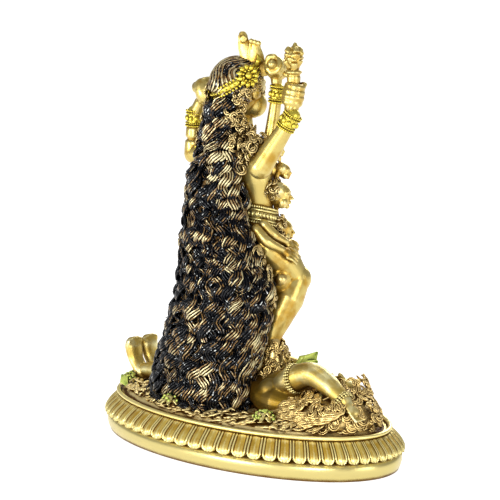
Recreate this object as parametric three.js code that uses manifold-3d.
// A cast resin kali figure: a four-armed goddess with hair to the ground, standing on a man who lies
// along an oval plinth edged with lotus petals. It is one casting, so it is one solid.
// Units are millimetres. Z is up, the goddess looks along -Y, and the origin is the middle of the underside.

import * as THREE from 'three';
import { mergeVertices } from 'three/addons/utils/BufferGeometryUtils.js';
import Module from 'manifold-3d';

// Plinth
const plinthLength = 140;
const plinthWidth = 76;
const bandHeight = 7.2;
const bandRecess = 2.4;
const petalHeight = 6.9;
const petalLean = 5.2;
const petalCount = 64;
const petalBulge = 0.9;
const petalDroop = 1.5;
const rimHeight = 2.4;
const rimWidth = 2.6;
const groundSink = 0.8;
const groundHeap = 2.0;

// Figure: its forms are laid out on a grid of 139 steps from the ground to the sword's tip
const figureHeight = 139;
const gridSteps = 139;

// Facets
const petalSides = 3;
const limbSides = 6;
const hairRows = 20;

// Long hair
const lockCount = 18;
const lockDepth = 1.5;
const lockWaves = 6;
const lockSway = 0.8;
const lockTwists = 3;

const step = figureHeight / gridSteps;
const groundLevel = bandHeight + petalHeight + rimHeight - groundSink;
const at = (x, y, z) => new THREE.Vector3(x * step, y * step, groundLevel + z * step);
const level = new THREE.Vector3(0, 1, 0);
const upright = new THREE.Vector3(0, 0, 1);

const wasm = await Module();
wasm.setup();

// Turns a closed geometry into a solid that can be joined and cut.
function solidOf(geometry) {
  const bare = geometry.clone();
  bare.deleteAttribute('normal');
  bare.deleteAttribute('uv');
  const merged = mergeVertices(bare, 1e-4);
  const index = merged.getIndex().array;
  const triangles = [];
  for (let i = 0; i < index.length; i += 3) {
    const [a, b, c] = [index[i], index[i + 1], index[i + 2]];
    if (a !== b && b !== c && c !== a) triangles.push(a, b, c);
  }
  return new wasm.Manifold(new wasm.Mesh({
    numProp: 3,
    vertProperties: new Float32Array(merged.getAttribute('position').array),
    triVerts: new Uint32Array(triangles),
  }));
}

// Turns a solid back into a geometry.
function geometryOf(solid) {
  const mesh = solid.getMesh();
  const geometry = new THREE.BufferGeometry();
  geometry.setAttribute('position', new THREE.BufferAttribute(new Float32Array(mesh.vertProperties), 3));
  geometry.setIndex(new THREE.BufferAttribute(new Uint32Array(mesh.triVerts), 1));
  geometry.computeVertexNormals();
  return geometry;
}

// Joins a list of solids into one.
function join(solids) {
  return solids.reduce((whole, solid) => whole.add(solid));
}

// Fills the strip between two rings. One ring may have a whole number of times the points of the other.
function strip(index, from, fromCount, to, toCount) {
  if (fromCount >= toCount) {
    const share = fromCount / toCount;
    for (let j = 0; j < toCount; j += 1) {
      const next = (j + 1) % toCount;
      for (let i = j * share; i < (j + 1) * share; i += 1) {
        index.push(from + i, from + ((i + 1) % fromCount), to + j);
      }
      index.push(from + ((next * share) % fromCount), to + next, to + j);
    }
    return;
  }
  const share = toCount / fromCount;
  for (let j = 0; j < fromCount; j += 1) {
    const next = (j + 1) % fromCount;
    index.push(from + j, from + next, to + next * share);
    for (let i = j * share; i < (j + 1) * share; i += 1) {
      index.push(from + j, to + ((i + 1) % toCount), to + i);
    }
  }
}

// Skins a stack of rings that run counterclockwise seen from the far end, and closes both ends.
function skin(rings) {
  const points = rings.flat();
  const starts = [];
  let count = 0;
  for (const ring of rings) {
    starts.push(count);
    count += ring.length;
  }
  const index = [];
  for (let r = 0; r + 1 < rings.length; r += 1) {
    strip(index, starts[r], rings[r].length, starts[r + 1], rings[r + 1].length);
  }
  for (const [r, turned] of [[0, true], [rings.length - 1, false]]) {
    const sides = rings[r].length;
    points.push(rings[r].reduce((sum, p) => sum.add(p), new THREE.Vector3()).divideScalar(sides));
    for (let s = 0; s < sides; s += 1) {
      const [a, b] = [starts[r] + s, starts[r] + ((s + 1) % sides)];
      index.push(...(turned ? [b, a] : [a, b]), points.length - 1);
    }
  }
  const geometry = new THREE.BufferGeometry().setFromPoints(points);
  geometry.setIndex(index);
  return geometry;
}

// A limb or a lock: a round form along a smooth line, with one radius for each point and rounded ends.
function limb(points, radii, { sides = limbSides, rows = 4, flat = 1, up = upright } = {}) {
  const line = new THREE.CatmullRomCurve3(points, false, 'catmullrom', 0.5);
  const endShare = 0.7;
  const radiusAt = (t) => {
    const place = t * (radii.length - 1);
    const low = Math.min(Math.floor(place), radii.length - 2);
    return THREE.MathUtils.lerp(radii[low], radii[low + 1], place - low) * step;
  };
  const ringAt = (t, share, shift) => {
    const along = line.getTangent(t);
    const side = new THREE.Vector3().crossVectors(up, along);
    if (side.lengthSq() < 1e-4) side.crossVectors(level, along);
    side.normalize();
    const over = new THREE.Vector3().crossVectors(along, side).normalize();
    const centre = line.getPoint(t).addScaledVector(along, shift * radiusAt(t));
    const ring = [];
    for (let s = 0; s < sides; s += 1) {
      const turn = (2 * Math.PI * s) / sides;
      ring.push(centre.clone()
        .addScaledVector(side, radiusAt(t) * share * Math.cos(turn))
        .addScaledVector(over, radiusAt(t) * share * flat * Math.sin(turn)));
    }
    return ring;
  };
  const rings = [ringAt(0, endShare, -0.65)];
  for (let i = 0; i <= rows; i += 1) rings.push(ringAt(i / rows, 1, 0));
  rings.push(ringAt(1, endShare, 0.65));
  return solidOf(skin(rings));
}

// A rounded form with its own size along each axis.
function lump(centre, size, columns = 7, rows = 5) {
  const geometry = new THREE.SphereGeometry(1, columns, rows);
  geometry.rotateX(Math.PI / 2);
  geometry.scale(size[0] * step, size[1] * step, size[2] * step);
  geometry.translate(centre.x, centre.y, centre.z);
  return solidOf(geometry);
}

// One oval of the plinth, at a height, set in from the widest outline.
function oval(inset, height, sides, shape = () => 0) {
  const ring = [];
  for (let s = 0; s < sides; s += 1) {
    const turn = (2 * Math.PI * s) / sides;
    const out = shape(turn) - inset;
    ring.push(new THREE.Vector3(
      (plinthLength / 2 + out) * Math.cos(turn),
      (plinthWidth / 2 + out) * Math.sin(turn),
      height,
    ));
  }
  return ring;
}

// The plinth: a plain foot band, a ring of lotus petals whose tips hang over it, a rolled rim, and
// the ground inside the rim, heaped along the middle.
function plinth() {
  const sides = petalCount * petalSides;
  const petalTop = bandHeight + petalHeight;
  const rimTop = petalTop + rimHeight;
  const scallop = (turn) => Math.sqrt(Math.abs(Math.sin((turn * petalCount) / 2)));
  const tips = oval(0, bandHeight, sides, (turn) => petalBulge + petalDroop * (scallop(turn) - 1));
  tips.forEach((p, s) => {
    p.z += petalDroop * (0.8 - scallop((2 * Math.PI * s) / sides));
  });
  const swell = oval(petalLean * 0.42, bandHeight + petalHeight * 0.6, sides,
    (turn) => petalBulge * (scallop(turn) - 0.4));
  const inside = petalLean + rimWidth;
  const heaps = [[0.86, 0.4], [0.55, 0.8], [0.25, 1]].map(([share, heap]) => {
    const ring = oval(inside, groundLevel + groundHeap * heap, petalCount / 4);
    ring.forEach((p, s) => {
      p.x *= share;
      p.y *= share;
      p.z += 0.3 * groundHeap * Math.sin(s * 1.9 + share * 9);
    });
    return ring;
  });
  return solidOf(skin([
    oval(bandRecess, 0, petalCount),
    oval(bandRecess * 0.3, bandHeight * 0.35, petalCount),
    oval(bandRecess * 0.5, bandHeight * 0.72, petalCount),
    tips,
    swell,
    oval(petalLean, petalTop, petalCount),
    oval(petalLean + rimWidth * 0.3, rimTop, petalCount),
    oval(inside, groundLevel, petalCount / 2),
    ...heaps,
  ]));
}

// The hair's outline at each height: its low and high X, then its front and back Y.
const hairOutline = [
  [-1, -13.5, 34, 1, 29],
  [6, -13, 33, 1, 28],
  [16, -15, 30.5, -0.5, 26],
  [30, -17.2, 27.6, -0.5, 24.5],
  [45, -15.4, 22.8, 0.5, 23],
  [58, -11, 20.6, 2.5, 22.5],
  [70, -8.7, 19.6, 3.5, 21.5],
  [86, -7.6, 17.8, 2.5, 20.3],
  [94, -9.6, 13.6, 1.5, 18.5],
  [101, -7, 11.6, 1, 17.3],
  [110, -5.6, 10.4, 1.5, 17],
  [120, -6.8, 9.6, 0, 16.4],
  [126, -6, 7.8, 0.4, 14],
  [129.5, -3.6, 5, 3, 11],
];

// The cloak of hair, from the crown of the head to the ground, carved into waving locks.
function hairCloak() {
  const low = hairOutline[0][0];
  const high = hairOutline[hairOutline.length - 1][0];
  const sides = lockCount * 2;
  const rounded = (value) => Math.sign(value) * Math.abs(value) ** 0.92;
  const rings = [];
  for (let r = 0; r <= hairRows; r += 1) {
    const height = low + ((high - low) * r) / hairRows;
    const above = Math.max(1, hairOutline.findIndex((row) => row[0] >= height - 1e-6));
    const [a, b] = [hairOutline[above - 1], hairOutline[above]];
    const share = (height - a[0]) / (b[0] - a[0]);
    const [, x0, x1, y0, y1] = a.map((value, i) => THREE.MathUtils.lerp(value, b[i], share));
    const fade = Math.min(1, (high - height) / 25);
    const ring = [];
    for (let s = 0; s < sides; s += 1) {
      const wave = 2 * Math.PI * ((lockWaves * r) / hairRows + (lockTwists * s) / sides);
      const turn = (2 * Math.PI * (s + lockSway * Math.sin(wave))) / sides;
      const out = lockDepth * fade * ((s % 2 === 0 ? 0.4 : -0.6) + 0.4 * Math.cos(wave));
      ring.push(at(
        (x0 + x1) / 2 + ((x1 - x0) / 2 + out) * rounded(Math.cos(turn)),
        (y0 + y1) / 2 + ((y1 - y0) / 2 + out) * rounded(Math.sin(turn)),
        height,
      ));
    }
    rings.push(ring);
  }
  return solidOf(skin(rings));
}

// The goddess's trunk, neck and head.
function trunk() {
  return join([
    limb([at(-0.5, -3, 55), at(-1, -3, 62), at(-0.5, -3, 73), at(0, -1, 85), at(0, 1.5, 95)],
      [9, 10.5, 7.6, 9.4, 8.6], { sides: 9, rows: 5, flat: 0.72, up: level }),
    limb([at(-12, 5.5, 94.5), at(0, 2.5, 97), at(13.5, 3.5, 94)], [4.4, 5, 4.4], { rows: 2 }),
    limb([at(0, 2.5, 96), at(0, 3.5, 106)], [4.4, 4.2], { rows: 1 }),
    lump(at(-4.6, -6.2, 87.5), [4.4, 4, 4.4]),
    lump(at(4.6, -6.2, 87.5), [4.4, 4, 4.4]),
    lump(at(0, 4.4, 117.5), [9, 10.2, 11.4], 9, 6),
    lump(at(0, -0.3, 112), [7.0, 6.2, 7.8], 8, 6),
    lump(at(0, -6.5, 112.4), [1.2, 1.8, 2.0], 5, 4),
  ]);
}

// Legs: her right knee is bent and forward, and her left foot is back. Each ankle has a cluster of bells.
function legs() {
  return join([
    limb([at(-5.5, -3, 59), at(-9, -8.5, 53.5), at(-11.8, -13, 47)], [7.4, 7.2, 5.2], { rows: 2, sides: 8 }),
    limb([at(-12.2, -13, 47), at(-10.6, -9.4, 36), at(-11, -4.4, 20)], [5.2, 5.8, 3.0], { rows: 3, sides: 8 }),
    limb([at(6, -3, 59), at(8.5, -7.5, 48), at(9.5, -9.5, 38), at(10, -6.5, 28), at(10, -3.5, 14)],
      [7.6, 6.8, 5.3, 5.2, 3.0], { rows: 5, sides: 7 }),
    limb([at(-11, -2.5, 17), at(-15, -16, 15.4)], [3.0, 2.6], { flat: 0.75, rows: 1 }),
    limb([at(9.5, -1, 12.5), at(11, -13, 11.4)], [3.0, 2.6], { flat: 0.75, rows: 1 }),
    limb([at(-11, -4.6, 25), at(-11.6, -6, 16.4)], [3.6, 6.8], { sides: 9, rows: 1 }),
    limb([at(10, -4, 20), at(10.4, -5.5, 12)], [3.6, 6.6], { sides: 9, rows: 1 }),
  ]);
}

// Four arms with bracelets and closed hands. Each row is shoulder, elbow, wrist and hand.
const armLines = [
  [[-11.5, 4.5, 96], [-15.4, 9.2, 90], [-25.2, 4.4, 107.2], [-25, 2, 116.5]],
  [[-12, 3, 97], [-11.6, 1.2, 94.5], [-14, -0.4, 116], [-13.6, -0.6, 125.4]],
  [[13, 3.5, 95], [29, 4, 91.5], [26.4, 4, 105.4], [22, 3.2, 116]],
  [[12, 2.5, 94], [16.5, 0.5, 82.5], [14.5, -12.5, 88], [13.5, -16.5, 90.5]],
];

function arms() {
  return join(armLines.flatMap((line) => {
    const [shoulder, elbow, wrist, hand] = line.map((p) => at(...p));
    const fold = hand.clone().sub(wrist).normalize();
    const cuffs = [-2.8, 0.4].map((shift) => wrist.clone().addScaledVector(fold, shift * step));
    return [
      limb([shoulder, elbow], [4.0, 3.5], { rows: 1 }),
      limb([elbow, wrist, hand], [3.7, 2.5, 2.2], { rows: 2 }),
      limb(cuffs, [3.4, 3.4], { rows: 1 }),
      lump(hand, [3.4, 3.8, 4.1]),
    ];
  }));
}

// What the hands hold: a hooked sword, a trident and a bowl.
function attributes() {
  const flat = { sides: 6, flat: 0.55 };
  return join([
    limb([at(-13.6, -1, 125.4), at(-9.6, 0.4, 125), at(-6, 2, 129), at(-3.4, 3.2, 133.4), at(-1.6, 4, 137.6)],
      [1.6, 2.4, 3.5, 3.0, 1.8], { ...flat, rows: 6, up: new THREE.Vector3(0.72, -0.7, 0) }),
    lump(at(-5.4, 1.6, 132.4), [1.8, 1.8, 2.6], 5, 4),
    limb([at(-24.2, 1.4, 100), at(-24.6, 1.6, 125)], [1.3, 1.4], { rows: 1, sides: 5 }),
    lump(at(-24.6, 1.6, 123), [2.8, 2.8, 1.5], 7, 4),
    limb([at(-24.6, 1.6, 124.5), at(-24.6, 1.6, 135.8)], [2.1, 1.0], { rows: 1, sides: 5 }),
    ...[-1, 1].map((side) => limb(
      [at(-24.6, 1.6, 124.6), at(-24.6 + side * 3.2, 1.6, 127.6), at(-24.6 + side * 2.4, 1.6, 134)],
      [1.3, 1.7, 0.8], { rows: 2, sides: 5 },
    )),
    lump(at(13.5, -17.5, 93.5), [6, 6, 3.2], 8, 4),
  ]);
}

// The long garland of small heads over her breast and thighs.
const garlandLoop = [
  [-8.6, -4.4, 95.5], [-8.6, -7.4, 88.5], [-7.6, -9, 79.5], [-7.2, -11.2, 68.5], [-5.6, -14.6, 58.5],
  [0, -16.6, 54], [5.8, -15.2, 58.5], [7.6, -12.4, 68.5], [8.4, -10, 79.5], [9.4, -8.4, 88.5], [9.2, -5.5, 95.5],
];

function garland() {
  const cord = limb(garlandLoop.map(([x, y, z]) => at(x, y + 1.6, z + 3)),
    [1.4, 1.4], { rows: 10, sides: 3 });
  const heads = garlandLoop.map(([x, y, z], i) => {
    const size = Math.min(i, garlandLoop.length - 1 - i) > 1 ? 1.1 : 0.8;
    return lump(at(x, y, z), [3.0 * size, 3.1 * size, 3.9 * size], 5, 4);
  });
  return join([cord, ...heads]);
}

// The girdle, and the skirt of severed arms that hangs from it round her hips.
function girdle() {
  const out = [limb([at(-0.6, -3, 68.5), at(-0.8, -3, 72.5)], [9.6, 9.2], { sides: 10, rows: 1, flat: 0.78, up: level })];
  const armCount = 8;
  for (let i = 0; i < armCount; i += 1) {
    const turn = Math.PI * (-0.04 + (1.08 * i) / (armCount - 1));
    const [ox, oy] = [-Math.cos(turn), -Math.sin(turn)];
    const reach = 1 + 0.25 * Math.abs(ox);
    const drop = 1.2 * (i % 2);
    out.push(limb([
      at(-0.8 + ox * 8.6, -3 + oy * 6.4, 69),
      at(-0.8 + ox * 10.6 * reach, -3 + oy * 10.6, 61.5),
      at(-1 + ox * 13.2 * reach, -4.8 + oy * 14.2, 51.5 + drop),
    ], [2.7, 2.7, 1.5], { rows: 2, sides: 5 }));
  }
  return join(out);
}

// A low crown round her head, with a tall leaf, smaller leaves and a rosette on each side.
function crown() {
  const bandSides = 12;
  const band = [[-1.3, 0.2], [-1.3, 1.3], [1.5, 1.5], [1.5, 0.2]].map(([lift, grow]) => {
    const ring = [];
    for (let s = 0; s < bandSides; s += 1) {
      const turn = (2 * Math.PI * s) / bandSides;
      const slope = -4.6 * Math.sin(turn);
      ring.push(at((9.6 + grow) * Math.cos(turn), 5.2 + (10.8 + grow) * Math.sin(turn), 118.6 + lift + slope));
    }
    return ring;
  });
  const leaves = [[0, -6.6, 127.6, 4.6], [-4.6, -4.9, 126.4, 3.4], [4.6, -4.9, 126.4, 3.4]];
  return join([
    solidOf(skin(band)),
    ...leaves.map(([x, y, z, tall]) => limb(
      [at(x, y, z - tall * 0.8), at(x * 0.96, y + 0.8, z + tall)], [2.3, 0.6], { rows: 1, sides: 5 },
    )),
    ...[-1, 1].map((side) => lump(at(side * 9.4, 6.4, 119.6), [2.2, 3, 3], 6, 4)),
  ]);
}

// The man lying on his back, his head at her right hand and his feet at her left.
function lyingMan() {
  const out = [
    limb([at(12, -1, 7), at(-8, -0.5, 7.4), at(-18, 0, 8), at(-28, -0.5, 8.5)], [8, 8.2, 9.2, 8.2],
      { rows: 3, sides: 9, flat: 0.84 }),
    limb([at(-25, -2.5, 9), at(-36, -4, 9)], [4.6, 4.2], { rows: 1 }),
    lump(at(-44.5, -5, 9.5), [9, 7.6, 7.8], 9, 6),
    lump(at(-45.6, -5, 16.6), [2.2, 1.3, 1.4], 5, 4),
    limb([at(-24, 6, 10), at(-31, 7, 14.6), at(-37, 6, 18.4)], [4.6, 5.0, 4.2], { rows: 2 }),
    limb([at(-36.6, 6, 18), at(-43, 5.6, 15.6), at(-51, 5, 10.6), at(-58, 5, 8)], [4.3, 4.2, 3.2, 2.6], { rows: 3 }),
    limb([at(-25, -11, 9.5), at(-13, -16, 7)], [4.4, 3.6], { rows: 1, sides: 6 }),
    limb([at(-13, -16, 7), at(5, -14.5, 5)], [3.6, 2.8], { rows: 1, sides: 6 }),
  ];
  for (const y of [-5, 3]) {
    out.push(limb([at(10, y - 1, 7), at(30, y - 0.5, 8.4), at(40, y, 7), at(54, y + 0.6, 5)],
      [6.8, 5, 4.6, 2.8], { rows: 4 }));
    out.push(limb([at(55, y + 0.8, 3.6), at(58.4, y + 1, 9), at(59, y + 0.8, 15.6)], [3.4, 3.8, 3.6],
      { rows: 2, flat: 0.8 }));
  }
  return join(out);
}

// The man's matted hair: a low dome of locks that run down from his head to the end of the plinth.
function mattedHair() {
  const strands = 13;
  const rows = [[1.06, -1], [1, 3], [0.86, 7.5], [0.6, 10.5], [0.3, 11.5]];
  return solidOf(skin(rows.map(([share, height], r) => {
    const ring = [];
    for (let s = 0; s < strands * 2; s += 1) {
      const turn = (Math.PI * (s + 0.7 * r)) / strands;
      const reach = share * (s % 2 === 0 ? 1.05 : 0.93);
      ring.push(at(
        -43.5 + 17.4 * reach * Math.cos(turn),
        1.5 + 17.4 * reach * Math.sin(turn),
        height + (s % 2 === 0 ? 0.8 : 0),
      ));
    }
    return ring;
  })));
}

// Flowers on the ground round the plinth, and a tuft of leaves beside the man's shoulder.
const flowerPlaces = [[-34, 23, 3.8], [13, 26, 3.8], [57, 9, 3.2], [-30, -22, 3.6], [24, -23.5, 3.8], [50, -14, 3.2]];

function plants() {
  return join([
    ...flowerPlaces.map(([x, y, r]) => lump(at(x, y, 1.6), [r, r, 2.6], 6, 4)),
    ...[-1, 1].map((lean) => limb(
      [at(-22.5 + lean * 2, -11, 8), at(-23.5 + lean * 3.4, -10.5 - lean, 19.5)], [2.4, 1.2], { rows: 1, sides: 4 },
    )),
  ]);
}

const casting = join([
  plinth(), hairCloak(), trunk(), legs(), arms(), attributes(), garland(), girdle(), crown(),
  lyingMan(), mattedHair(), plants(),
]);

const antiqueGold = new THREE.MeshStandardMaterial({ color: 0xc9a95a, roughness: 0.38, metalness: 0.75 });
const figure = new THREE.Mesh(geometryOf(casting), antiqueGold);
figure.name = 'kali_figure';

const model = new THREE.Group();
model.add(figure);

export default model;
